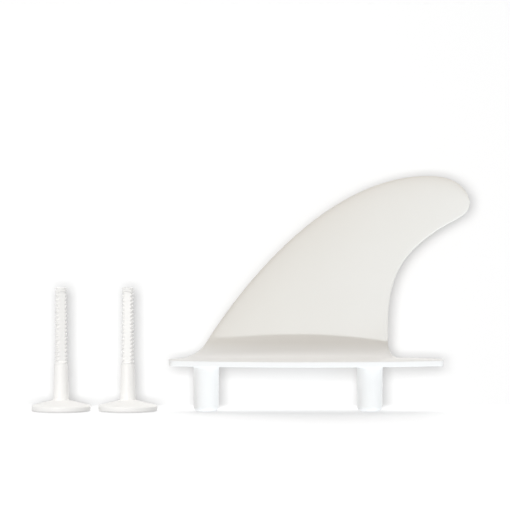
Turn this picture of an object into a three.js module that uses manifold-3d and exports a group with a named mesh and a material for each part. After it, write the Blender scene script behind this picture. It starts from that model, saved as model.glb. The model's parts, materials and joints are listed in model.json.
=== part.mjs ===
// A soft-top surfboard fin set: one moulded twin-post fin and the two moulded screws that hold it.
// Millimetres. +X runs towards the fin's trailing side, +Y across the board and +Z out of the board,
// and the origin lies on the underside of the base plate, midway between the posts.
// The fin stands on the ends of its posts, and both screws stand on their heads in front of it.
import * as THREE from "three";
import { mergeVertices } from "three/addons/utils/BufferGeometryUtils.js";
import Module from "manifold-3d";

const wasm = await Module();
wasm.setup();

// Posts: round, with a threaded bore that opens at the lower end.
const postSpacing = 82.5;
const postDiameter = 12.8;
const postLength = 22.7;
const postDraft = 0.15; // taken off the radius at the lower end
const postFillet = 1.5;
const postEndRadius = 2.2;
const postEndLand = 0.5; // flat ring left round the bore's mouth
const boreClearance = 0.1; // round the screw's thread
const boreFloor = 1.7; // left between the bore and the base plate
const boreChamfer = 0.3;

// Base plate: a lens-shaped flange with an upright edge and a crowned top.
const plateAhead = 18.85; // from the middle of the front post to the plate's front end
const plateBehind = 37.15; // from the middle of the rear post to its rear end
const plateWidth = 30;
const plateEndRadius = 3;
const plateEdgeHeight = 2.5;
const plateCrown = 1.9; // rise of the top above the upright edge
const plateUnderRadius = 0.35; // small round along the lower edge

// Root fillets: how far each spreads over the plate, and how high it climbs.
const sideFillet = { spread: 3, height: 4 };
const frontFillet = { spread: 8.2, height: 7.6 };
const rearFillet = { spread: 5, height: 7.6 };

// Blade: a raked foil. Its root stands back from both ends of the plate, and its tip reaches behind.
const toeToPlateEnd = 6;
const heelToPlateEnd = 23;
const rootSlope = 0.628; // how far the leading edge runs back for each millimetre it climbs at the root
const tipReach = 41.1; // from the trailing edge at the root to the rearmost point of the tip
const bladeHeight = 91.4; // above the middle of the plate's top
const rootThickness = 8.4;
const tipThickness = 3.2;
const trailingThickness = 1.8;
const thickestAt = 0.38; // share of the chord, from the leading edge
const tipRounding = 2.5;

// Screws: a wide, shallow cone head with a coin slot, a smooth neck and a coarse thread.
const headDiameter = 29.8;
const rimHeight = 3;
const rimRadius = 1;
const hubHeight = 5.3;
const neckFillet = 0.8;
const neckDiameter = 7.8; // at the head
const neckEndDiameter = 6.8;
const neckEnd = 22.7; // height above the head's face
const neckShoulder = 0.6; // run from the neck down to the thread
const threadDiameter = 6.3;
const threadTipDiameter = 5.7;
const threadDepth = 0.5;
const threadPitch = 2;
const screwLength = 62.2;
const tipChamfer = 0.45;
const slotLength = 19;
const slotWidth = 2.4;
const slotDepth = 2.2;
const screwGap = 3.9; // between the two heads
const finToScrewGap = 5.8; // between the plate's front end and the nearer head, end to end

// How finely the round shapes are divided.
const aroundFin = 40;
const aroundPost = 32;
const aroundScrew = 24;

const white = new THREE.Color(0.94, 0.94, 0.925);

// Places that follow from the sizes.
const floor = -postLength;
const plateFront = -postSpacing / 2 - plateAhead;
const plateRear = postSpacing / 2 + plateBehind;
const plateMiddle = (plateFront + plateRear) / 2;
const plateTop = plateEdgeHeight + plateCrown;
const shoulder = plateTop + Math.max(frontFillet.height, rearFillet.height);
const bladeTop = plateTop + bladeHeight;
const rootFront = plateFront + toeToPlateEnd + frontFillet.spread + rootSlope * (shoulder - plateTop);
const rootRear = plateRear - heelToPlateEnd - rearFillet.spread;
const tipRear = rootRear + tipReach;
const threadStart = neckEnd + neckShoulder;
const threadEnd = screwLength - tipChamfer;

function mouldedPlastic() {
  return new THREE.MeshStandardMaterial({ color: white, roughness: 0.55, metalness: 0 });
}

function asSolid(geometry) {
  const bare = geometry.clone();
  bare.deleteAttribute("normal");
  bare.deleteAttribute("uv");
  const merged = mergeVertices(bare, 1e-4);
  return new wasm.Manifold(
    new wasm.Mesh({
      numProp: 3,
      vertProperties: new Float32Array(merged.attributes.position.array),
      triVerts: new Uint32Array(merged.index.array),
    }),
  );
}

function asGeometry(solid) {
  const mesh = solid.getMesh();
  const geometry = new THREE.BufferGeometry();
  geometry.setAttribute("position", new THREE.BufferAttribute(mesh.vertProperties, 3));
  geometry.setIndex(new THREE.BufferAttribute(mesh.triVerts, 1));
  return geometry;
}

// Joins rings of points into a closed skin. A ring runs anticlockwise seen from the last one,
// and the two end rings are closed by fans round their middles. Points that meet are welded.
function skinned(rings) {
  const around = rings[0].length;
  const middle = (ring) => ring.reduce((sum, p) => sum.add(p), new THREE.Vector3()).divideScalar(around);
  const points = [...rings.flat(), middle(rings[0]), middle(rings.at(-1))];
  const firstMiddle = points.length - 2;
  const lastMiddle = points.length - 1;
  const topRow = (rings.length - 1) * around;
  const index = [];
  for (let k = 0; k < around; k += 1) {
    const next = (k + 1) % around;
    index.push(firstMiddle, next, k);
    index.push(lastMiddle, topRow + k, topRow + next);
    for (let row = 0; row < topRow; row += around) {
      index.push(row + k, row + next, row + around + k);
      index.push(row + next, row + around + next, row + around + k);
    }
  }
  return weldedSkin(points, index);
}

// A skin with its coinciding points made one and the faces that this flattens left out.
function weldedSkin(points, index) {
  const raw = new THREE.BufferGeometry().setFromPoints(points);
  raw.setIndex(index);
  const merged = mergeVertices(raw, 1e-4);
  const corners = merged.index.array;
  const kept = [];
  for (let i = 0; i < corners.length; i += 3) {
    const [a, b, c] = [corners[i], corners[i + 1], corners[i + 2]];
    if (a !== b && b !== c && c !== a) kept.push(a, b, c);
  }
  merged.setIndex(kept);
  return merged;
}

// 0 at an edge, 1 at the given distance inside it, round like a quarter circle.
function quarterRound(share) {
  const left = 1 - Math.min(Math.max(share, 0), 1);
  return Math.sqrt(1 - left * left);
}

// The plate's outline: two long arcs that run on smoothly into round ends.
const plateHalfLength = (plateRear - plateFront) / 2;
const endCentre = plateHalfLength - plateEndRadius;
const longRadius =
  (endCentre ** 2 + (plateWidth / 2) ** 2 - plateEndRadius ** 2) / (plateWidth - 2 * plateEndRadius);
const arcCentre = longRadius - plateWidth / 2;

// Half the plate's width at a distance along it from its middle.
function plateHalfWidth(along) {
  const join = (endCentre * longRadius) / (longRadius - plateEndRadius);
  const away = Math.abs(along);
  if (away < join) return Math.sqrt(longRadius ** 2 - away ** 2) - arcCentre;
  return Math.sqrt(Math.max(0, plateEndRadius ** 2 - (away - endCentre) ** 2));
}

// Height of the plate's top over any point of its outline.
function plateTopAt(x, y) {
  const inset = longRadius - Math.hypot(x - plateMiddle, Math.abs(y) + arcCentre);
  return plateEdgeHeight + plateCrown * quarterRound(inset / (plateWidth / 2));
}

// The fin's rings start at the rear end and go round by the +Y side. Each of their points has
// a reach from -1 at the front to 1 at the rear, and a side of -1, 0 or 1.
const finRing = Array.from({ length: aroundFin }, (_, k) => ({
  reach: Math.cos((2 * Math.PI * k) / aroundFin),
  side: Math.sign(aroundFin / 2 - k) * Math.sign(k),
}));

function plateRing(inset, z) {
  const shorter = 1 - inset / plateHalfLength;
  const narrower = 1 - inset / (plateWidth / 2);
  return finRing.map(({ reach, side }) => {
    const along = plateHalfLength * reach;
    const across = side * plateHalfWidth(along);
    return new THREE.Vector3(plateMiddle + along * shorter, across * narrower, z);
  });
}

const rise = (share) => shoulder + share * (bladeTop - shoulder);
const overRoot = (share) => rootFront + share * (rootRear - rootFront);
const overTip = (share) => rootRear + share * (tipRear - rootRear);

// Both edges of the blade run from the shoulder to the rearmost point of the tip.
const leadingEdge = new THREE.Path()
  .moveTo(rootFront, shoulder)
  .bezierCurveTo(overRoot(0.226), rise(0.393), overRoot(0.691), rise(1), overTip(0.49), rise(1))
  .bezierCurveTo(overTip(0.964), rise(1), overTip(1), rise(0.859), overTip(1), rise(0.838));
const trailingEdge = new THREE.Path()
  .moveTo(rootRear, shoulder)
  .lineTo(rootRear, rise(0.095))
  .bezierCurveTo(rootRear, rise(0.394), overTip(0.156), rise(0.56), overTip(0.822), rise(0.735))
  .bezierCurveTo(overTip(0.915), rise(0.759), overTip(1), rise(0.782), overTip(1), rise(0.838));

// Half a foil's thickness at a share of its chord.
function foilHalf(share, chord, foil) {
  if (share < thickestAt) return foil.thickest * quarterRound(share / thickestAt);
  const aft = (share - thickestAt) / (1 - thickestAt);
  const taper = foil.trailing + (foil.thickest - foil.trailing) * (1 - aft ** 1.7);
  return foil.trailing > 0 ? taper * quarterRound(((1 - share) * chord) / foil.trailing) : 0;
}

// A foil section as a ring, from the point on its leading edge to the one on its trailing edge.
// The foil's two sizes are half thicknesses: where it is thickest and along its trailing edge.
function foilRing(front, rear, foil) {
  const chord = front.distanceTo(rear);
  return finRing.map(({ reach, side }) => {
    const share = (1 + reach) / 2;
    const along = front.clone().lerp(rear, share);
    return new THREE.Vector3(along.x, side * foilHalf(share, chord, foil), along.y);
  });
}

function bladeRings(count) {
  const length = leadingEdge.getLength();
  const rings = [];
  for (let i = 1; i <= count; i += 1) {
    const share = 1 - (1 - i / (count + 0.35)) ** 1.35;
    const toTip = (1 - share) * length;
    const even = rootThickness + (tipThickness - rootThickness) * share;
    const thickest = (even / 2) * quarterRound(toTip / tipRounding);
    const foil = { thickest, trailing: Math.min(trailingThickness / 2, thickest) };
    rings.push(foilRing(leadingEdge.getPoint(share), trailingEdge.getPoint(share), foil));
  }
  return rings;
}

// The flared foot of the blade, as rings from the plate's top up to the shoulder. The fillets
// start from a longer and thicker foil that lies on the plate.
function footRings(steps) {
  const at = (x) => new THREE.Vector2(x, shoulder);
  const blade = { thickest: rootThickness / 2, trailing: trailingThickness / 2 };
  const spread = {
    thickest: blade.thickest + sideFillet.spread,
    trailing: blade.trailing + sideFillet.spread,
  };
  // The leading edge runs forward as it comes down, and every section with it.
  const rootAt = (z) => foilRing(at(rootFront - rootSlope * (shoulder - z)), at(rootRear), blade);
  const start = rootAt(plateTop);
  const toe = start[aroundFin / 2].x - frontFillet.spread;
  const heel = rootRear + rearFillet.spread;
  const foot = foilRing(at(toe), at(heel), spread);
  const place = (k, climb) => {
    const base = plateTopAt(foot[k].x, foot[k].y);
    const z = base + climb * (shoulder - base);
    const end = foot[k].x < plateMiddle ? frontFillet : rearFillet;
    const nearEnd = finRing[k].reach ** 12;
    const height = sideFillet.height + (end.height - sideFillet.height) * nearEnd;
    const left = 1 - quarterRound((z - base) / height);
    const inner = rootAt(z)[k];
    const x = inner.x + left * (foot[k].x - start[k].x);
    const y = inner.y + left * (foot[k].y - start[k].y);
    return new THREE.Vector3(x, y, z);
  };
  return steps.map((climb) => start.map((_, k) => place(k, climb)));
}

// Rings over the plate's crowned top, from its edge to the blade's foot.
function crownRings(foot, steps) {
  const edge = plateRing(0, plateEdgeHeight);
  return steps.map((share) =>
    edge.map((point, k) => {
      const x = point.x + share * (foot[k].x - point.x);
      const y = point.y + share * (foot[k].y - point.y);
      return new THREE.Vector3(x, y, plateTopAt(x, y));
    }),
  );
}

function plateAndBlade() {
  const foot = footRings([0, 0.05, 0.14, 0.28, 0.5, 0.75, 1]);
  return skinned([
    plateRing(plateUnderRadius, 0),
    plateRing(0, plateUnderRadius),
    plateRing(0, plateEdgeHeight),
    ...crownRings(foot[0], [0.015, 0.06, 0.15, 0.35, 0.65]),
    ...foot,
    ...bladeRings(19),
  ]);
}

// Points on an arc round a centre, from one angle to another, in degrees.
function arcPoints(x, y, radius, from, to, steps) {
  const points = [];
  for (let i = 0; i <= steps; i += 1) {
    const angle = THREE.MathUtils.degToRad(from + ((to - from) * i) / steps);
    points.push(new THREE.Vector2(x + radius * Math.cos(angle), y + radius * Math.sin(angle)));
  }
  return points;
}

// A turned body: its outline is in radius and height, and starts and ends on the axis.
function turned(outline, around) {
  return asSolid(new THREE.LatheGeometry(outline, around).rotateX(Math.PI / 2));
}

// One post with its bore. Its top fillet stays on the plate, and its end keeps a flat ring.
function post(x) {
  const top = postDiameter / 2;
  const bottom = top - postDraft;
  const bore = threadDiameter / 2 + boreClearance;
  const mouth = bore + boreChamfer;
  const endRadius = Math.min(postEndRadius, bottom - mouth - postEndLand);
  const toPlateEdge = longRadius - Math.hypot(x - plateMiddle, arcCentre) - plateUnderRadius;
  const fillet = Math.min(postFillet, toPlateEdge - top);
  const insidePlate = plateEdgeHeight / 2;
  const outline = [
    new THREE.Vector2(0, -boreFloor),
    new THREE.Vector2(bore, -boreFloor),
    new THREE.Vector2(bore, boreChamfer - postLength),
    new THREE.Vector2(mouth, -postLength),
    ...arcPoints(bottom - endRadius, endRadius - postLength, endRadius, -90, 0, 5),
    ...arcPoints(top + fillet, -fillet, fillet, 180, 90, 4),
    new THREE.Vector2(top + fillet, insidePlate),
    new THREE.Vector2(0, insidePlate),
  ];
  return turned(outline, aroundPost).translate([x, 0, 0]);
}

function finGeometry() {
  const posts = [post(-postSpacing / 2), post(postSpacing / 2)];
  return asGeometry(posts.reduce((body, one) => body.add(one), asSolid(plateAndBlade())));
}

// Radius of the screw's thread at a height, where phase counts turns of the ridge.
function threadRadius(z, onCrest) {
  const run = (z - neckEnd) / (screwLength - neckEnd);
  const crest = (threadDiameter + run * (threadTipDiameter - threadDiameter)) / 2;
  const fadeIn = Math.min((z - threadStart) / threadPitch, 1);
  const fadeOut = Math.min((threadEnd - z) / threadPitch, 1);
  const height = Math.max(1 - fadeIn, onCrest ? fadeOut : 0);
  return crest - threadDepth * (1 - height);
}

// The thread as lines that climb one pitch a turn, two on the crest and two in the root. Lines are
// held between the ends of the thread, where those that meet are welded into a plain ring.
function threadRings() {
  const linesPerPitch = 4;
  const lines = ((threadEnd - threadStart) / threadPitch + 2) * linesPerPitch;
  const rings = [];
  for (let line = -linesPerPitch; line < lines; line += 1) {
    const ring = [];
    for (let k = 0; k <= aroundScrew; k += 1) {
      const climb = (line / linesPerPitch + k / aroundScrew) * threadPitch;
      const z = Math.min(Math.max(threadStart + climb, threadStart), threadEnd);
      const onCrest = ((line % linesPerPitch) + linesPerPitch) % linesPerPitch < 2;
      const angle = (2 * Math.PI * k) / aroundScrew;
      const radius = threadRadius(z, onCrest);
      ring.push(new THREE.Vector3(radius * Math.cos(angle), radius * Math.sin(angle), z));
    }
    rings.push(ring);
  }
  return rings;
}

function flatRing(radius, z) {
  return arcPoints(0, 0, radius, 0, 360, aroundScrew).map((p) => new THREE.Vector3(p.x, p.y, z));
}

// The whole screw as rows of points from the middle of its head's face to the middle of its tip.
function screwSkin() {
  const rim = headDiameter / 2;
  const neck = neckDiameter / 2;
  const lower = arcPoints(rim - rimRadius, rimRadius, rimRadius, -90, 0, 3);
  const upper = arcPoints(rim - rimRadius, rimHeight - rimRadius, rimRadius, 0, 75, 3);
  const root = arcPoints(neck + neckFillet, hubHeight + neckFillet, neckFillet, 260, 180, 3);
  const profile = [
    ...lower,
    ...upper,
    ...root,
    new THREE.Vector2(neckEndDiameter / 2, neckEnd),
  ];
  const rows = [
    flatRing(0, 0),
    ...profile.map((p) => flatRing(p.x, p.y)),
    ...threadRings(),
    flatRing(threadTipDiameter / 2 - threadDepth - tipChamfer, screwLength),
    flatRing(0, screwLength),
  ];
  const across = aroundScrew + 1;
  const index = [];
  for (let row = 0; row + 1 < rows.length; row += 1) {
    for (let k = 0; k < aroundScrew; k += 1) {
      const corner = row * across + k;
      index.push(corner, corner + 1, corner + across);
      index.push(corner + 1, corner + across + 1, corner + across);
    }
  }
  return weldedSkin(rows.flat(), index);
}

function coinSlot() {
  const half = slotLength / 2 - slotWidth / 2;
  const outline = new THREE.Shape()
    .absarc(half, 0, slotWidth / 2, -Math.PI / 2, Math.PI / 2)
    .absarc(-half, 0, slotWidth / 2, Math.PI / 2, (3 * Math.PI) / 2);
  outline.closePath();
  const below = 1;
  const block = new THREE.ExtrudeGeometry(outline, {
    depth: slotDepth + below,
    bevelEnabled: false,
    curveSegments: 6,
  });
  return asSolid(block.translate(0, 0, -below));
}

function screwGeometry() {
  return asGeometry(asSolid(screwSkin()).subtract(coinSlot()));
}

function piece(name, geometry, x, z, turn) {
  const mesh = new THREE.Mesh(geometry, mouldedPlastic());
  mesh.name = name;
  mesh.position.set(x, 0, z);
  mesh.rotation.z = THREE.MathUtils.degToRad(turn);
  return mesh;
}

const nearScrew = plateFront - finToScrewGap - headDiameter / 2;
const farScrew = nearScrew - screwGap - headDiameter;

const finSet = new THREE.Group();
finSet.add(piece("fin", finGeometry(), 0, 0, 0));
finSet.add(piece("deck_screw_1", screwGeometry(), farScrew, floor, 110));
finSet.add(piece("deck_screw_2", screwGeometry(), nearScrew, floor, 85));

export default finSet;
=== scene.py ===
import json
import math

import bmesh
import bpy
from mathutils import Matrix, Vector
from mathutils.geometry import delaunay_2d_cdt


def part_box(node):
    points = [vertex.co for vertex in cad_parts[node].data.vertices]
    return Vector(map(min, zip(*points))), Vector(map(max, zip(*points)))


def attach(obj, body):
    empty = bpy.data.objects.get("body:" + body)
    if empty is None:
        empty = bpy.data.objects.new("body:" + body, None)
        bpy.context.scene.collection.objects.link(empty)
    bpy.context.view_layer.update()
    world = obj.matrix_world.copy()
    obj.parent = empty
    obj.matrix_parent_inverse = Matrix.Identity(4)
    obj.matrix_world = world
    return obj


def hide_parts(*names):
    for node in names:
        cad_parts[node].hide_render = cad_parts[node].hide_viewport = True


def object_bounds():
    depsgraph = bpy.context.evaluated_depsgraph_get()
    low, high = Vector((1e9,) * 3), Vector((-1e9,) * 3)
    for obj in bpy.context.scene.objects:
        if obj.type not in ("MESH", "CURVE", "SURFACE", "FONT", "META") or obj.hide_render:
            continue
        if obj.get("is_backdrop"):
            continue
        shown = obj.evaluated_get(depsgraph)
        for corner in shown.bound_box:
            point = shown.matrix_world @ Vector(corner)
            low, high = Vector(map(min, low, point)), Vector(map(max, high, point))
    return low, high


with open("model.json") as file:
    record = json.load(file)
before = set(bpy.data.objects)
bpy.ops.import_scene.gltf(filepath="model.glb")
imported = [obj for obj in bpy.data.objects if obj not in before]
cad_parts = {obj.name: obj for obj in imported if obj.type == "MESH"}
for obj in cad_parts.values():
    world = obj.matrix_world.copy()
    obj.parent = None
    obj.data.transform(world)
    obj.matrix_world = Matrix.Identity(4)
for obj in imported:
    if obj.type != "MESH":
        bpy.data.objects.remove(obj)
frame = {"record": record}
cad_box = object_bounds()


# --- The fin's base plate and its two posts ---------------------------------------------------
# One injection moulding in white plastic with the blade. The lens-shaped plate lies on the
# board's bottom skin, and each round post goes through the board and takes a deck screw.

mm = 0.001
fin_low, fin_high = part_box("fin")
mounts = {mount["name"]: Vector(mount["pos_m"]) for mount in frame["record"]["mounts"]}
front_post_at = mounts["front_post_end"].x
rear_post_at = mounts["rear_post_end"].x
post_end = mounts["front_post_end"].z

plate_front = fin_low.x
plate_rear = rear_post_at + 37.15 * mm
plate_middle = (plate_front + plate_rear) / 2
plate_half_length = (plate_rear - plate_front) / 2
plate_half = fin_high.y
plate_end_radius = 3 * mm
plate_edge_height = 2.5 * mm
plate_crown = 1.9 * mm
plate_under_radius = 0.35 * mm
plate_top = plate_edge_height + plate_crown
even_strip = 0.03 * mm  # a narrow flat border that keeps the shading of flat faces even

side_fillet = {"spread": 3 * mm, "height": 4 * mm}
front_fillet = {"spread": 8.2 * mm, "height": 7.6 * mm}
rear_fillet = {"spread": 5 * mm, "height": 7.6 * mm}
root_slope = 0.628  # how far the leading edge runs back for each metre it climbs at the root
root_half = 4.2 * mm
trailing_half = 0.9 * mm
thickest_at = 0.38
toe = plate_front + 6 * mm
heel = plate_rear - 23 * mm
shoulder = plate_top + front_fillet["height"]
root_front = toe + front_fillet["spread"] + root_slope * (shoulder - plate_top)
root_rear = heel - rear_fillet["spread"]

post_radius = 6.4 * mm
post_draft = 0.15 * mm
post_fillet = 1.5 * mm
post_end_radius = 2.2 * mm
bore_radius = 3.25 * mm
bore_chamfer = 0.3 * mm
bore_floor = 1.7 * mm
bore_ridge = 0.5 * mm

around_fin = 160
around_post = 72
foot_steps = 26
crown_steps = 16
thinning = 1.7  # the power by which the foil thins aft of its thickest place
parting_ridge = 0.06 * mm  # stands along the fin's middle plane, where the mould's halves met
on_ridge = 0.001  # a point is on the ridge when the sine of its angle is less than this


def quarter_round(share):
    """0 at an edge and 1 at the given distance inside it, round like a quarter circle."""
    left = 1 - min(max(share, 0), 1)
    return math.sqrt(1 - left * left)


def angles(around, start=0):
    return [start + 2 * math.pi * k / around for k in range(around)]


def beside_ridge(angle):
    """How far a point lies behind the parting ridge, which runs along 0 and half a turn."""
    return 0 if abs(math.sin(angle)) < on_ridge else parting_ridge * math.cos(angle)


end_centre = plate_half_length - plate_end_radius
long_radius = (end_centre**2 + plate_half**2 - plate_end_radius**2) / (2 * (plate_half - plate_end_radius))
arc_centre = long_radius - plate_half


def plate_half_width(along):
    """Half the plate's width at a distance from its middle: long arcs that run into round ends."""
    away = abs(along)
    if away < end_centre * long_radius / (long_radius - plate_end_radius):
        return math.sqrt(long_radius**2 - away**2) - arc_centre
    return math.sqrt(max(0, plate_end_radius**2 - (away - end_centre) ** 2))


def plate_top_at(x, y):
    inset = long_radius - math.hypot(x - plate_middle, abs(y) + arc_centre)
    return plate_edge_height + plate_crown * quarter_round(inset / plate_half)


def plate_row(inset, z):
    """The plate's outline at a height, from its rear end round by the +Y side, drawn in by an inset."""
    row = []
    for angle in angles(around_fin):
        along = plate_half_length * math.cos(angle)
        across = math.copysign(plate_half_width(along), math.sin(angle))
        x = along * (1 - inset / plate_half_length) - beside_ridge(angle)
        row.append(Vector((plate_middle + x, across * (1 - inset / plate_half), z)))
    return row


def foil_point(angle, front, rear, thickest, trailing):
    """A point of a level foil section, in the order of the plate's outline."""
    chord = rear - front
    share = (1 + math.cos(angle)) / 2
    aft = max(0, (share - thickest_at) / (1 - thickest_at))
    taper = trailing + (thickest - trailing) * (1 - aft**thinning)
    ends = quarter_round(share / thickest_at) * quarter_round((1 - share) * chord / trailing)
    x = front + share * chord - beside_ridge(angle)
    return Vector((x, math.copysign(taper * ends, math.sin(angle))))


def root_point(angle, z):
    """A point of the blade's root. Its front runs forward as it comes down to the plate."""
    return foil_point(angle, root_front - root_slope * (shoulder - z), root_rear, root_half, trailing_half)


def foot_rows(steps):
    """The blade's flared foot, from a longer and thicker foil on the plate up to the shoulder."""
    spread = side_fillet["spread"]
    closeness = 1.7  # the power that brings the rows closer together near the plate
    end_share = 12  # the power that keeps the end fillets to the two ends
    rows = [[] for _ in range(steps + 1)]
    for angle in angles(around_fin):
        foot = foil_point(angle, toe, heel, root_half + spread, trailing_half + spread)
        flare = foot - root_point(angle, plate_top)
        base = plate_top_at(*foot)
        end = rear_fillet if math.cos(angle) > 0 else front_fillet
        near_end = math.cos(angle) ** end_share
        height = side_fillet["height"] + (end["height"] - side_fillet["height"]) * near_end
        for step, row in enumerate(rows):
            z = base + (step / steps) ** closeness * (shoulder - base)
            left = 1 - quarter_round((z - base) / height)
            row.append((root_point(angle, z) + left * flare).to_3d() + Vector((0, 0, z)))
    return rows


def crown_rows(foot, steps):
    """The plate's crowned top, from its edge to the blade's foot."""
    closeness = 1.6  # the power that brings the rows closer together near the edge
    edge = plate_row(0, plate_edge_height)
    rows = []
    for step in range(1, steps):
        row = [start.lerp(end, (step / steps) ** closeness) for start, end in zip(edge, foot)]
        rows.append([Vector((point.x, point.y, plate_top_at(point.x, point.y))) for point in row])
    return rows


def arc(across, up, radius, start, end, steps):
    """Points of a quarter round in a turned outline, as (radius, height). The angles are in degrees."""
    turns = [math.radians(start + (end - start) * step / steps) for step in range(steps + 1)]
    return [(across + radius * math.cos(turn), up + radius * math.sin(turn)) for turn in turns]


def turned_rows(outline, centre, around, start=0, ridge=0):
    """Rings of points for an outline turned about an upright line. A ridge stands on each side of it."""
    rows = []
    for radius, z in outline:
        row = []
        for angle in angles(around, start):
            reach = radius + (ridge if abs(math.sin(angle)) < on_ridge else 0)
            row.append(Vector((centre + reach * math.cos(angle), reach * math.sin(angle), z)))
        rows.append(row)
    return rows


def skin(body, rows):
    """Faces between each closed row of points and the next. Returns the rows of corners."""
    made = [[body.verts.new(point) for point in row] for row in rows]
    for lower, upper in zip(made, made[1:]):
        for k in range(len(lower)):
            body.faces.new((lower[k - 1], lower[k], upper[k], upper[k - 1]))
    return made


def fill_flat(body, *rims):
    """A level face inside the first rim, with a hole for each of the others, which bulge outwards.

    The triangles are found in millimetres. Those with all their corners on one hole's rim would
    fill that hole, so they are left out.
    """
    corners = [corner for rim in rims for corner in rim]
    rim_of = [number for number, rim in enumerate(rims) for _ in rim]
    borders = []
    for rim in rims:
        first = len(borders)
        borders += [(first + k, first + (k + 1) % len(rim)) for k in range(len(rim))]
    flat = [corner.co.to_2d() * 1000 for corner in corners]
    triangles = delaunay_2d_cdt(flat, borders, [], 1, 1e-5)[2]
    for triangle in triangles:
        touched = {rim_of[corner] for corner in triangle}
        if touched == {0} or len(touched) > 1:
            body.faces.new([corners[corner] for corner in triangle])


def post_skins(body, centre):
    """A post's outside down to the mouth of its bore, and the bore's floor. Returns the top rim."""
    foot = post_radius - post_draft
    mouth = bore_radius + bore_chamfer
    land = foot - post_end_radius
    to_plate_edge = long_radius - math.hypot(centre - plate_middle, arc_centre) - plate_under_radius
    fillet = min(post_fillet, to_plate_edge - 3 * even_strip - post_radius)
    outside = [(post_radius + fillet + even_strip, 0)]
    outside += arc(post_radius + fillet, -fillet, fillet, 90, 180, 8)
    outside += arc(land, post_end + post_end_radius, post_end_radius, 0, -90, 10)
    outside += [(land - even_strip, post_end)]
    bore_mouth = [(mouth + even_strip, post_end), (mouth, post_end), (bore_radius, post_end + bore_chamfer)]
    root = bore_radius - bore_ridge
    floor = [(root, -bore_floor), (root - even_strip, -bore_floor)]
    rows = turned_rows(outside, centre, around_post, ridge=parting_ridge)
    rims = skin(body, rows + turned_rows(bore_mouth, centre, around_post))
    fill_flat(body, skin(body, turned_rows(floor, centre, around_post))[-1])
    return rims[0]


fin_body = bmesh.new()
foot = foot_rows(foot_steps)
plate_rims = skin(
    fin_body,
    [
        plate_row(plate_under_radius + even_strip, 0),
        *(
            plate_row(plate_under_radius * (1 - math.sin(turn)), plate_under_radius * (1 - math.cos(turn)))
            for turn in (math.pi / 12 * step for step in range(7))
        ),
        plate_row(0, plate_edge_height - even_strip),
        plate_row(0, plate_edge_height),
        *crown_rows(foot[0], crown_steps),
        *foot,
    ],
)
post_rims = [post_skins(fin_body, centre) for centre in (front_post_at, rear_post_at)]
fill_flat(fin_body, plate_rims[0], *post_rims)


# --- The fin's blade --------------------------------------------------------------------------
# The upper part of the same moulding: a raked foil that is thickest well forward, with a blunt
# trailing edge. Its sections run between the two edges of its outline, at equal shares of both.

tip_rear = fin_high.x
blade_top = fin_high.z
tip_half = 1.6 * mm
tip_rounding = 2.5 * mm
blade_rings = 110
weld = 0.002 * mm


class Amount:
    """What a node gives, for sums written as plain Python expressions."""

    def __init__(self, graph, socket):
        self.graph = graph
        self.socket = socket

    def output(self, name):
        """Another output of the same node."""
        return Amount(self.graph, self.socket.node.outputs[name])

    def __add__(self, other):
        return self.graph.maths("ADD", self, other)

    def __radd__(self, other):
        return self.graph.maths("ADD", other, self)

    def __sub__(self, other):
        return self.graph.maths("SUBTRACT", self, other)

    def __rsub__(self, other):
        return self.graph.maths("SUBTRACT", other, self)

    def __mul__(self, other):
        return self.graph.maths("MULTIPLY", self, other)

    def __rmul__(self, other):
        return self.graph.maths("MULTIPLY", other, self)

    def __truediv__(self, other):
        return self.graph.maths("DIVIDE", self, other)

    def __rtruediv__(self, other):
        return self.graph.maths("DIVIDE", other, self)

    def __pow__(self, other):
        return self.graph.maths("POWER", self, other)


class Graph:
    """A tree of nodes: plain maths through maths(), and every other node through node()."""

    def __init__(self, tree):
        self.tree = tree

    def node(self, kind, settings=None, values=None, output=0):
        """Adds a node, with its settings first and then its sockets, and gives one of its outputs."""
        made = self.tree.nodes.new(kind)
        for name, setting in (settings or {}).items():
            setattr(made, name, setting)
        for name, value in (values or {}).items():
            if isinstance(value, Amount):
                self.tree.links.new(value.socket, made.inputs[name])
            else:
                made.inputs[name].default_value = value
        return Amount(self, made.outputs[output]) if made.outputs else None

    def maths(self, operation, *values):
        return self.node("ShaderNodeMath", {"operation": operation}, dict(enumerate(values)))

    def held(self, value, low=0, high=1):
        """A value kept between two limits."""
        return self.maths("MINIMUM", self.maths("MAXIMUM", value, low), high)

    def quarter_round(self, share):
        left = 1 - self.held(share)
        return self.maths("SQRT", 1 - left * left)

    def sizes(self, kinds):
        """Names the tree's inputs, and gives what comes in through each."""
        self.tree.interface.new_socket("Geometry", in_out="OUTPUT", socket_type="NodeSocketGeometry")
        for name, kind in kinds.items():
            self.tree.interface.new_socket(name, in_out="INPUT", socket_type="NodeSocket" + kind)
        given = self.tree.nodes.new("NodeGroupInput")
        return {name: Amount(self, given.outputs[name]) for name in kinds}

    def weld_on(self, host, lines, around, position, material):
        """Bends a grid of lines to a position, welds it to the host and ends the tree."""
        count = {"Vertices X": lines, "Vertices Y": around + 1}
        grid = self.node("GeometryNodeMeshGrid", {}, count)
        bent = self.node("GeometryNodeSetPosition", {}, {"Geometry": grid, "Position": position})
        both = self.node("GeometryNodeJoinGeometry", {}, {"Geometry": host})
        self.tree.links.new(bent.socket, both.socket.node.inputs["Geometry"])
        welded = self.node("GeometryNodeMergeByDistance", {}, {"Geometry": both, "Distance": weld})
        smooth = self.node("GeometryNodeSetShadeSmooth", {}, {"Geometry": welded, "Shade Smooth": True})
        real = self.node("GeometryNodeRealizeInstances", {}, {"Geometry": smooth})
        painted = self.node("GeometryNodeSetMaterial", {}, {"Geometry": real, "Material": material})
        self.node("NodeGroupOutput", {}, {"Geometry": painted})

    def grid_place(self, around):
        """The line that a grid's point is on, and its share of the way along it."""
        index = self.node("GeometryNodeInputIndex")
        line = self.maths("FLOOR", (index + 0.5) / (around + 1))
        return line, (index - line * (around + 1)) / around


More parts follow.
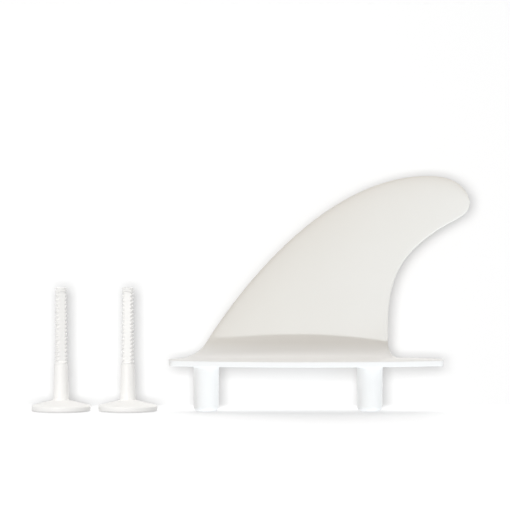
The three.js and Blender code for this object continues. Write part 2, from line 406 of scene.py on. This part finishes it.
def blade_tree():
    graph = Graph(bpy.data.node_groups.new("foil_between_edges", "GeometryNodeTree"))
    given = graph.sizes(
        {
            "Geometry": "Geometry",
            "Leading Edge": "Object",
            "Trailing Edge": "Object",
            "Rings": "Int",
            "Points Around": "Int",
            "Root Half": "Float",
            "Tip Half": "Float",
            "Trailing Half": "Float",
            "Thickest At": "Float",
            "Tip Rounding": "Float",
            "Parting Ridge": "Float",
            "Material": "Material",
        }
    )
    line, turn = graph.grid_place(given["Points Around"])
    # The rings come closer together towards the tip.
    up = 1 - (1 - line / given["Rings"]) ** 1.7
    leading = graph.node("GeometryNodeObjectInfo", {}, {"Object": given["Leading Edge"]}, "Geometry")
    trailing = graph.node("GeometryNodeObjectInfo", {}, {"Object": given["Trailing Edge"]}, "Geometry")
    length = graph.node("GeometryNodeCurveLength", {}, {"Curve": leading})
    front, rear = (
        graph.node("GeometryNodeSampleCurve", {"mode": "FACTOR"}, {"Curves": edge, "Factor": up}, "Position")
        for edge in (leading, trailing)
    )
    chord = graph.node("ShaderNodeVectorMath", {"operation": "DISTANCE"}, {0: front, 1: rear}, "Value")
    to_tip = graph.quarter_round((1 - up) * length / given["Tip Rounding"])
    thickest = (given["Root Half"] + up * (given["Tip Half"] - given["Root Half"])) * to_tip
    blunt = graph.maths("MINIMUM", given["Trailing Half"], thickest)

    angle = turn * (2 * math.pi)
    cosine = graph.maths("COSINE", angle)
    sine = graph.maths("SINE", angle)
    share = (1 + cosine) / 2
    aft = graph.held((share - given["Thickest At"]) / (1 - given["Thickest At"]))
    taper = blunt + (thickest - blunt) * (1 - aft**thinning)
    nose = graph.quarter_round(share / given["Thickest At"])
    half = taper * nose * graph.quarter_round((1 - share) * chord / blunt)
    off_ridge = graph.maths("GREATER_THAN", graph.maths("ABSOLUTE", sine), on_ridge)
    inside = off_ridge * cosine * given["Parting Ridge"] * to_tip / chord
    places = {0: share - inside, 4: front, 5: rear}
    along = graph.node("ShaderNodeMix", {"data_type": "VECTOR"}, places, 1)
    across = graph.node("ShaderNodeCombineXYZ", {}, {"Y": half * graph.maths("SIGN", sine)})
    position = graph.node("ShaderNodeVectorMath", {"operation": "ADD"}, {0: along, 1: across})
    graph.weld_on(given["Geometry"], given["Rings"] + 1, given["Points Around"], position, given["Material"])
    return graph.tree


def rise(share):
    return shoulder + share * (blade_top - shoulder)


def over_root(share):
    return root_front + share * (root_rear - root_front)


def over_tip(share):
    return root_rear + share * (tip_rear - root_rear)


def edge_curve(name, corners):
    """An edge of the blade as a curve. Its corners are (x, z): a knot, two handles, a knot and so on."""
    curve = bpy.data.curves.new(name, "CURVE")
    curve.dimensions = "3D"
    curve.resolution_u = 64
    spline = curve.splines.new("BEZIER")
    knots = corners[::3]
    spline.bezier_points.add(len(knots) - 1)
    for i, point in enumerate(spline.bezier_points):
        before = corners[max(3 * i - 1, 0)]
        after = corners[min(3 * i + 1, len(corners) - 1)]
        point.handle_left_type = "FREE"
        point.handle_right_type = "FREE"
        point.co = (knots[i][0], 0, knots[i][1])
        point.handle_left = (before[0], 0, before[1])
        point.handle_right = (after[0], 0, after[1])
    edge = bpy.data.objects.new(name, curve)
    bpy.context.scene.collection.objects.link(edge)
    return edge


leading_edge = edge_curve(
    "leading_edge",
    [
        (root_front, shoulder),
        (over_root(0.226), rise(0.393)),
        (over_root(0.691), rise(1)),
        (over_tip(0.49), rise(1)),
        (over_tip(0.964), rise(1)),
        (over_tip(1), rise(0.859)),
        (over_tip(1), rise(0.838)),
    ],
)
trailing_edge = edge_curve(
    "trailing_edge",
    [
        (root_rear, shoulder),
        (root_rear, rise(0.095 / 3)),
        (root_rear, rise(0.095 * 2 / 3)),
        (root_rear, rise(0.095)),
        (root_rear, rise(0.394)),
        (over_tip(0.156), rise(0.56)),
        (over_tip(0.822), rise(0.735)),
        (over_tip(0.915), rise(0.759)),
        (over_tip(1), rise(0.782)),
        (over_tip(1), rise(0.838)),
    ],
)


# --- The threads in the posts -----------------------------------------------------------------
# A coarse thread moulded inside each post by a core that is turned out of it afterwards. The
# deck screw turns into it from below. The screws' own threads are made in the same way.

thread_pitch = 2 * mm
lines_per_pitch = 12


def thread_tree():
    graph = Graph(bpy.data.node_groups.new("moulded_thread", "GeometryNodeTree"))
    given = graph.sizes(
        {
            "Geometry": "Geometry",
            "Centre": "Vector",
            "Start": "Float",
            "End": "Float",
            "Crest Radius": "Float",
            "End Crest Radius": "Float",
            "Depth": "Float",
            "Pitch": "Float",
            "End Height": "Float",
            "Flat Depth": "Float",
            "Turned By": "Float",
            "Points Around": "Int",
            "Lines per Pitch": "Int",
            "Material": "Material",
        }
    )
    row, turn = graph.grid_place(given["Points Around"])
    line = row / given["Lines per Pitch"] - 1
    run = given["End"] - given["Start"]
    climb = graph.held((line + turn) * given["Pitch"], 0, run)
    crest = given["Crest Radius"] + climb / run * (given["End Crest Radius"] - given["Crest Radius"])
    fade_in = graph.held(climb / given["Pitch"])
    fade_out = graph.held((run - climb) / given["Pitch"])

    # The ridge is even with the crest for a third of each pitch and with the root for another third.
    wave = graph.maths("ABSOLUTE", 2 * graph.maths("FRACT", line + 1) - 1)
    flank = graph.held((wave - 0.35) / 0.3)
    ridge = flank * flank * (3 - 2 * flank)
    ending = ridge * fade_out + given["End Height"] * (1 - fade_out)
    height = graph.maths("MAXIMUM", 1 - fade_in, ending)
    threaded = crest - given["Depth"] * (1 - height)

    angle = turn * (2 * math.pi)
    to_flat = graph.maths("ABSOLUTE", graph.maths("COSINE", angle))
    flat = (crest - given["Flat Depth"]) / graph.maths("MAXIMUM", to_flat, 0.1)
    beyond_flat = 1 - graph.maths("MINIMUM", fade_in, fade_out)
    radius = graph.maths("MINIMUM", threaded, flat + beyond_flat * given["Flat Depth"] * 2)
    bearing = angle + given["Turned By"]
    reach = graph.node(
        "ShaderNodeCombineXYZ",
        {},
        {
            "X": radius * graph.maths("COSINE", bearing),
            "Y": radius * graph.maths("SINE", bearing),
            "Z": given["Start"] + climb,
        },
    )
    position = graph.node("ShaderNodeVectorMath", {"operation": "ADD"}, {0: given["Centre"], 1: reach})
    lines = graph.maths("CEIL", (run / given["Pitch"] + 2) * given["Lines per Pitch"])
    graph.weld_on(given["Geometry"], lines, given["Points Around"], position, given["Material"])
    return graph.tree


foil_between_edges = blade_tree()
moulded_thread = thread_tree()


# --- The fin's plastic and its finish ----------------------------------------------------------
# Warm white plastic, satin from a fine spark-eroded mould. The blade is painted a deeper white than
# the plate and posts, and deeper towards its leading edge: painted shade where less light falls.

def plastic(name, paler_white, deeper_white, shade_and_tone_share, roughness, grain):
    """White moulded plastic, mixed from a paler and a deeper white by a share from 0 to 1 that the given
    function works out. On the fin the deeper white is painted shade.
    """
    material = bpy.data.materials.new(name)
    material.use_nodes = True
    graph = Graph(material.node_tree)
    material.node_tree.nodes.clear()
    place = graph.node("ShaderNodeTexCoord", output="Object")

    def noise(size, detail):
        settings = {"noise_dimensions": "3D"}
        values = {"Vector": place, "Scale": 1 / size, "Detail": detail}
        return graph.node("ShaderNodeTexNoise", settings, values)

    # Slow unevenness of the moulding, the ripple of its skin and the fine grain of the mould.
    cloud = noise(26 * mm, 2)
    peel = noise(3.2 * mm, 3)
    fine = noise(0.7 * mm, 2)
    relief = 0.03 * mm
    uneven_tone = 0.12
    # On the fin the share is painted shade up the blade. The cloud adds tone at random.
    tone = graph.held(shade_and_tone_share(graph, place) + uneven_tone * (cloud - 0.5))
    colour = graph.node("ShaderNodeMix", {"data_type": "RGBA"}, {0: tone, 6: (*paler_white, 1), 7: (*deeper_white, 1)}, 2)
    height = 0.75 * peel + grain * fine + 3 * cloud
    bump = graph.node("ShaderNodeBump", {}, {"Strength": 1, "Distance": relief, "Height": height})
    surface = graph.node(
        "ShaderNodeBsdfPrincipled",
        {},
        {
            "Base Color": colour,
            "Roughness": graph.held(roughness + 0.1 * (peel - 0.5) + 0.08 * (cloud - 0.5)),
            "IOR": 1.5,
            "Normal": bump,
        },
    )
    graph.node("ShaderNodeOutputMaterial", {}, {"Surface": surface})
    return material


def blade_painted_shade(graph, place):
    """Painted shade: 0 on the plate, rising to 1 up the blade's foot, and falling off a little from the
    leading edge to the trailing edge, so the blade is darkest where the light falls on it least.
    """
    rake = 0.75  # how far the blade leans back for each metre it climbs
    chord_front = -35 * mm
    chord = 70 * mm
    fall = 0.25
    x = graph.node("ShaderNodeSeparateXYZ", {}, {"Vector": place})
    z = x.output("Z")
    climb = graph.held((z - plate_top) / (shoulder - plate_top))
    aft = graph.held((x - rake * (z - shoulder) - chord_front) / chord)
    return climb * (1 - fall * aft)


# The plate's white, and the deeper white painted on the blade as shade.
fin_white_and_painted_shade = ((0.892, 0.882, 0.865), (0.735, 0.7, 0.645))
fin_plastic = plastic("fin_satin", *fin_white_and_painted_shade, blade_painted_shade, 0.5, 0.3)


def moulded(name, body, material, additions):
    """Makes the object of a moulding, with each addition a tree of nodes and its sizes."""
    mesh = bpy.data.meshes.new(name)
    body.to_mesh(mesh)
    body.free()
    mesh.materials.append(material)
    piece = bpy.data.objects.new(name, mesh)
    bpy.context.scene.collection.objects.link(piece)
    for tree, sizes in additions:
        modifier = piece.modifiers.new(tree.name, "NODES")
        modifier.node_group = tree
        for item in tree.interface.items_tree:
            if item.name in sizes:
                modifier[item.identifier] = sizes[item.name]
            if item.name == "Material":
                modifier[item.identifier] = material
    shaped = piece.evaluated_get(bpy.context.evaluated_depsgraph_get())
    piece.data = bpy.data.meshes.new_from_object(shaped)
    piece.data.name = name
    piece.data.materials.clear()
    piece.data.materials.append(material)
    piece.modifiers.clear()
    outward = bmesh.new()
    outward.from_mesh(piece.data)
    bmesh.ops.recalc_face_normals(outward, faces=outward.faces)
    outward.to_mesh(piece.data)
    outward.free()
    return piece


blade_sizes = {
    "Leading Edge": leading_edge,
    "Trailing Edge": trailing_edge,
    "Rings": blade_rings,
    "Points Around": around_fin,
    "Root Half": root_half,
    "Tip Half": tip_half,
    "Trailing Half": trailing_half,
    "Thickest At": thickest_at,
    "Tip Rounding": tip_rounding,
    "Parting Ridge": parting_ridge,
}


def bore_thread(centre):
    return {
        "Centre": (centre, 0, 0),
        "Start": post_end + bore_chamfer,
        "End": -bore_floor,
        "Crest Radius": bore_radius,
        "End Crest Radius": bore_radius,
        "Depth": bore_ridge,
        "Pitch": thread_pitch,
        "End Height": 0.0,
        "Flat Depth": 0.0,
        "Turned By": 0.0,
        "Points Around": around_post,
        "Lines per Pitch": lines_per_pitch,
    }


fin_additions = [(foil_between_edges, blade_sizes)]
fin_additions += [(moulded_thread, bore_thread(centre)) for centre in (front_post_at, rear_post_at)]
fin = moulded("moulded_fin", fin_body, fin_plastic, fin_additions)
bpy.data.objects.remove(leading_edge)
bpy.data.objects.remove(trailing_edge)
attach(fin, "fin_body")
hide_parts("fin")


# --- The two deck screws ----------------------------------------------------------------------
# Each screw is moulded in one piece: a wide, shallow cone head with a coin slot in its face, a
# smooth neck and a coarse thread, with two flats along it where the mould's halves met.

rim_height = 3 * mm
rim_radius = 1 * mm
hub_height = 5.3 * mm
neck_fillet = 0.8 * mm
neck_radius = 3.9 * mm
neck_end_radius = 3.4 * mm
neck_height = 22.7 * mm
thread_start = 23.3 * mm
thread_crest = 3.145 * mm
thread_end_crest = 2.853 * mm
thread_depth = 0.5 * mm
flat_depth = 0.9 * mm
screw_length = 62.2 * mm
tip_chamfer = 0.3 * mm
thread_end = screw_length - tip_chamfer
slot_half_length = 9.5 * mm
slot_half_width = 1.2 * mm
slot_depth = 2.2 * mm
slot_edge = 0.3 * mm
around_screw = 72


def slot_row(centre, turn, outset, z):
    """The coin slot's outline, with round ends, spread by an outset."""
    reach = slot_half_length - slot_half_width
    row = []
    for angle in angles(48, math.pi / 48):
        side = math.copysign(reach, math.cos(angle))
        x = side + (slot_half_width + outset) * math.cos(angle)
        y = (slot_half_width + outset) * math.sin(angle)
        cosine, sine = math.cos(turn), math.sin(turn)
        row.append(Vector((centre + x * cosine - y * sine, x * sine + y * cosine, z)))
    return row


def slot_outline():
    """The coin slot's wall as (outset, depth): a rounded mouth, the wall and a rounded floor."""
    mouth = arc(slot_edge, slot_edge, slot_edge, 270, 180, 5)
    floor = arc(-slot_edge, slot_depth - slot_edge, slot_edge, 0, 90, 4)
    return [(slot_edge + even_strip, 0), *mouth, *floor, (-slot_edge - even_strip, slot_depth)]


def screw_skins(centre, face, head_radius, turn):
    rim = head_radius - rim_radius
    outside = [(rim - even_strip, 0)]
    outside += arc(rim, rim_radius, rim_radius, -90, 0, 8)
    outside += arc(rim, rim_height - rim_radius, rim_radius, 0, 75, 8)
    outside += arc(neck_radius + neck_fillet, hub_height + neck_fillet, neck_fillet, 260, 180, 8)
    outside += [(neck_end_radius, neck_height), (thread_crest, thread_start)]
    tip = [(thread_end_crest, thread_end), (thread_end_crest - tip_chamfer, screw_length)]
    tip += [(thread_end_crest - tip_chamfer - even_strip, screw_length)]
    body = bmesh.new()
    lower, upper = (
        skin(body, turned_rows([(radius, face + z) for radius, z in part], centre, around_screw, turn))
        for part in (outside, tip)
    )
    slot = skin(body, [slot_row(centre, turn, outset, face + z) for outset, z in slot_outline()])
    fill_flat(body, lower[0], slot[0])
    fill_flat(body, slot[-1])
    fill_flat(body, upper[-1])
    return body


def solid_throughout(graph, place):
    """A screw keeps a small fixed share of its deeper white everywhere, so its tone varies only at random.
    """
    return 0.06


screw_whites = ((0.93, 0.925, 0.91), (0.88, 0.873, 0.855))
screw_plastic = plastic("screw_satin", *screw_whites, solid_throughout, 0.42, 0.15)

screws = []
for number, slot_turn in ((1, 110), (2, 85)):
    low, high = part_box(f"deck_screw_{number}")
    centre = (low.x + high.x) / 2
    turn = math.radians(slot_turn)
    screw_thread = {
        "Centre": (centre, 0, low.z),
        "Start": thread_start,
        "End": thread_end,
        "Crest Radius": thread_crest,
        "End Crest Radius": thread_end_crest,
        "Depth": thread_depth,
        "Pitch": thread_pitch,
        "End Height": 1.0,
        "Flat Depth": flat_depth,
        "Turned By": turn,
        "Points Around": around_screw,
        "Lines per Pitch": lines_per_pitch,
    }
    head_radius = (high.x - low.x) / 2
    screw_body = screw_skins(centre, low.z, head_radius, turn)
    additions = [(moulded_thread, screw_thread)]
    screw = moulded(f"moulded_screw_{number}", screw_body, screw_plastic, additions)
    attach(screw, f"screw_{number}_body")
    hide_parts(f"deck_screw_{number}")
    screws.append(screw)


# --- Floor and backdrop -----------------------------------------------------------------------
# A floor of white paper, and a second sheet that turns up from it close behind the pieces and
# takes their soft shadow. Both are seen from their faces only, and shade nothing.

floor_level = cad_box[0].z
floor_reach = 3.0
sheet_at = cad_box[1].y + 2.5 * mm
sheet_turn = 2 * mm
sheet_reach = 0.4
paper_grey = 0.5
sheet_glow = 0.15
floor_glow = 0.2  # more than the standing sheet's

profile = arc(sheet_at - sheet_turn, floor_level + sheet_turn, sheet_turn, -90, 0, 12)
profile += [(sheet_at, sheet_reach)]
strips = [((-floor_reach, floor_level), (floor_reach, floor_level), floor_reach)]
strips += [(near, far, sheet_reach) for near, far in zip(profile, profile[1:])]
paper_body = bmesh.new()
for near, far, reach in strips:
    corners = [(-reach, *near), (reach, *near), (reach, *far), (-reach, *far)]
    paper_body.faces.new([paper_body.verts.new(corner) for corner in corners])
bmesh.ops.remove_doubles(paper_body, verts=paper_body.verts, dist=even_strip)
for face in paper_body.faces:
    face.smooth = True
paper_mesh = bpy.data.meshes.new("paper")
paper_body.to_mesh(paper_mesh)
paper_body.free()
paper = bpy.data.objects.new("paper", paper_mesh)
bpy.context.scene.collection.objects.link(paper)
paper.visible_shadow = False
paper.visible_diffuse = False
paper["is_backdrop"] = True

paper_white = bpy.data.materials.new("paper_white")
paper_white.use_nodes = True
paper_white.node_tree.nodes.clear()
graph = Graph(paper_white.node_tree)
rays = graph.node("ShaderNodeLightPath")
seen = graph.held(rays.output("Is Camera Ray") + rays.output("Is Glossy Ray"))
face = graph.node("ShaderNodeNewGeometry")
level = graph.node("ShaderNodeSeparateXYZ", {}, {"Vector": face.output("Normal")}, "Z")
matte = graph.node("ShaderNodeBsdfDiffuse", {}, {"Color": (paper_grey, paper_grey, paper_grey, 1)})
strength = seen * (sheet_glow + floor_glow * level)
glow = graph.node("ShaderNodeEmission", {}, {"Strength": strength})
lit = graph.node("ShaderNodeAddShader", {}, {0: matte, 1: glow})
clear = graph.node("ShaderNodeBsdfTransparent")
faces = {0: face.output("Backfacing"), 1: lit, 2: clear}
one_sided = graph.node("ShaderNodeMixShader", {}, faces)
graph.node("ShaderNodeOutputMaterial", {}, {"Surface": one_sided})
paper_mesh.materials.append(paper_white)


# --- Light ------------------------------------------------------------------------------------
# Even white light from all round, with soft boxes in front, above and behind. A cool lamp low in
# front shines up past the plate, whose shadow lies along the blade's foot. The paper has lamps of
# its own, which keep it white round the soft shadows.

world = bpy.data.worlds.new("white_room")
bpy.context.scene.world = world
world.use_nodes = True
world.node_tree.nodes.clear()
graph = Graph(world.node_tree)
rays = graph.node("ShaderNodeLightPath")
mirrored = rays.output("Is Glossy Ray") + rays.output("Is Transmission Ray")
seen = graph.held(rays.output("Is Camera Ray") + mirrored)
ambient = 0.57
strength = ambient + (1 - ambient) * seen
white = graph.node("ShaderNodeBackground", {}, {"Color": (1, 1, 1, 1), "Strength": strength})
graph.node("ShaderNodeOutputWorld", {}, {"Surface": white})

centre = (cad_box[0] + cad_box[1]) / 2


def lamp(name, kind, place, at, power, colour, lights, side=0.0, spread=0.0):
    """A lamp at a place, aimed at a point, that lights only the given objects."""
    data = bpy.data.lights.new(name, kind)
    data.energy = power
    data.color = colour
    if kind == "AREA":
        data.size = side
    else:
        data.angle = spread
    made = bpy.data.objects.new(name, data)
    bpy.context.scene.collection.objects.link(made)
    made.location = place
    made.rotation_euler = (Vector(at) - Vector(place)).to_track_quat("-Z", "Y").to_euler()
    made.visible_camera = False
    lit_by = bpy.data.collections.new("lit_by_" + name)
    for thing in lights:
        lit_by.objects.link(thing)
    made.light_linking.receiver_collection = lit_by


pieces = [fin, *screws]
screws_middle = (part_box("deck_screw_1")[0].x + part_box("deck_screw_2")[1].x) / 2
screws_at = Vector((screws_middle, 0, 8 * mm))
warm = (1, 0.965, 0.925)
cool = (0.83, 0.92, 1)
plain = (1, 1, 1)

front = centre + Vector((-0.5, -1.3, 0.3))
above = centre + Vector((0, -0.3, 1))
behind = centre + Vector((0.7, 1.3, 0.6))
beside_screws = screws_at + Vector((-0.25, -0.85, 0.1))
low_left = centre + Vector((-0.7, -0.6, -0.75))
low_right = centre + Vector((0.48, -0.54, -0.67))
over_floor = centre + Vector((0, 0.6, 1))
before_sheet = centre + Vector((-0.12, -1.5, 0.08))

lamp("front_box", "AREA", front, centre, 2.8, warm, pieces, side=1.2)
lamp("top_box", "AREA", above, centre, 2.9, warm, pieces, side=0.8)
lamp("back_box", "AREA", behind, centre, 5.5, warm, pieces, side=0.9)
lamp("screw_box", "AREA", beside_screws, screws_at, 2.2, plain, screws, side=0.5)
lamp("low_box", "AREA", low_left, centre, 3.3, cool, [fin], side=0.6)
lamp("low_lamp", "SUN", low_right, centre, 1.68, cool, [fin], spread=math.radians(2.5))
lamp("floor_lamp", "SUN", over_floor, centre, 2.6, plain, [paper], spread=math.radians(60))
lamp("sheet_box", "AREA", before_sheet, centre, 28.5, plain, [paper], side=0.75)


# --- Camera -----------------------------------------------------------------------------------
# A long lens, a little above level, that looks straight across the fin and the screws from far
# off, so that the pieces look nearly as they would in a side elevation.

camera_data = bpy.data.cameras.new("camera")
camera_data.sensor_width = 36
camera_data.lens = 200
camera_data.clip_end = 20
camera = bpy.data.objects.new("camera", camera_data)
bpy.context.scene.collection.objects.link(camera)
bpy.context.scene.camera = camera
camera_distance = 1.428
camera_elevation = math.radians(1.2)
look_at = Vector((centre.x + 2.27 * mm, 0, centre.z + 19.42 * mm))
back_off = Vector((0, -math.cos(camera_elevation), math.sin(camera_elevation)))
camera.location = look_at + camera_distance * back_off
camera.rotation_euler = (-back_off).to_track_quat("-Z", "Y").to_euler()
bpy.context.scene.view_settings.view_transform = "Standard"


corners = {"cad_box": cad_box, "visual_box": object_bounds()}
